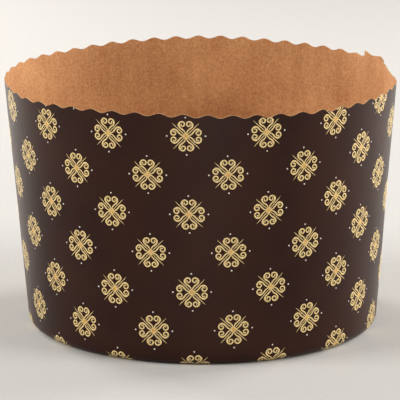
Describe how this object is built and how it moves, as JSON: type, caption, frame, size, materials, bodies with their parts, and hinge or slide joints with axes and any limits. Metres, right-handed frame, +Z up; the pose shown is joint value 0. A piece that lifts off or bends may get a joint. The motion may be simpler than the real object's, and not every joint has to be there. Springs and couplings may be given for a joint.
{
  "type": "paper baking mould",
  "caption": "Round free-standing paper baking mould with a slightly flared printed wall, a glued vertical lap, a wavy cut rim and a vented base disc on the folded-in edge.",
  "frame": {"origin": "centre of the circle that the mould stands on, in the plane of the table", "axes": "+Z up along the mould's axis, -Y towards the side that faces the viewer, so the glued lap lies to the right and a little behind"},
  "size_m": [0.148, 0.148, 0.0956],
  "materials": {
    "printed_kraft": "satin",
    "plain_kraft": "matte"
  },
  "bodies": {
    "root": {"side_wall": "printed_kraft", "base_disc": "plain_kraft"}
  },
  "joints": []
}
